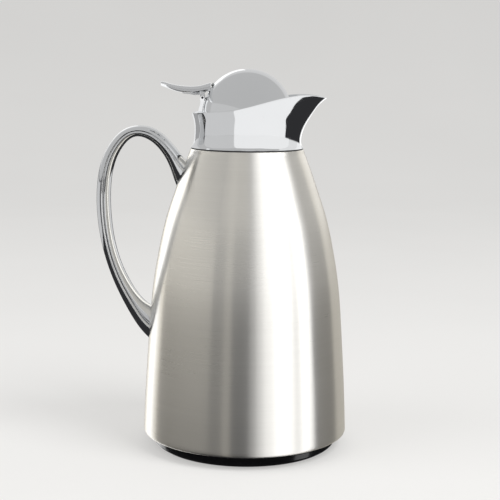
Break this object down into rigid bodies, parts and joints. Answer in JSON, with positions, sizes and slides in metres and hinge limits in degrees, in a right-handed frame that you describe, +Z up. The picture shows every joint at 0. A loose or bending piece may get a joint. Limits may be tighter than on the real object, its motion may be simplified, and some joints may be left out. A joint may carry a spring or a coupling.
{
  "type": "insulated serving jug",
  "caption": "Glass-lined vacuum jug with a brushed steel body, chrome pouring collar and spout, loop handle and thumb-lever lid.",
  "frame": {"origin": "on the jug's axis, in the plane of the rubber foot that it stands on", "axes": "+Z up along the jug's axis, +X towards the spout, -X towards the handle"},
  "size_m": [0.1843, 0.15, 0.2755],
  "materials": {
    "brushed_shell": "circumferentially brushed stainless steel, satin",
    "chrome_trim": "polished chrome plating",
    "black_base": "gloss black moulded plastic",
    "dark_plastic": "fine-textured dark grey moulded plastic",
    "silicone": "dark grey silicone rubber",
    "foot_rubber": "black rubber",
    "silvered_glass": "silvered vacuum flask glass",
    "spacer_felt": "pressed fibre pad",
    "zinc_steel": "zinc plated steel",
    "foam": "cream rigid foam"
  },
  "bodies": {
    "jug": {"outer_shell": "brushed_shell", "collar_gasket": "silicone", "pouring_collar": "chrome_trim", "pouring_insert": "dark_plastic", "neck_nut": "dark_plastic", "flask_neck_seal": "silicone", "flask_inner_wall": "silvered_glass", "flask_outer_wall": "silvered_glass", "flask_spacers": "spacer_felt", "flask_cushion": "foot_rubber", "base_ring": "black_base", "base_cap": "black_base", "foot_ring": "foot_rubber", "handle": "chrome_trim", "handle_upper_plate": "zinc_steel", "handle_lower_plate": "zinc_steel", "handle_upper_screws": "zinc_steel", "handle_lower_screws": "zinc_steel", "hinge_bracket": "chrome_trim", "hinge_pin": "chrome_trim"},
    "lid": {"lid_dome": "chrome_trim", "thumb_lever": "chrome_trim", "lever_screws": "zinc_steel", "lid_plug": "dark_plastic", "lid_insulation": "foam", "lid_seal": "silicone", "seal_retainer": "dark_plastic", "retainer_screw": "zinc_steel"}
  },
  "joints": [
    {"name": "lid_hinge", "type": "hinge", "parent": "jug", "child": "lid", "pos_m": [-0.0322, 0, 0.2548], "axis": [0, -1, 0], "range_deg": [0, 60]}
  ]
}
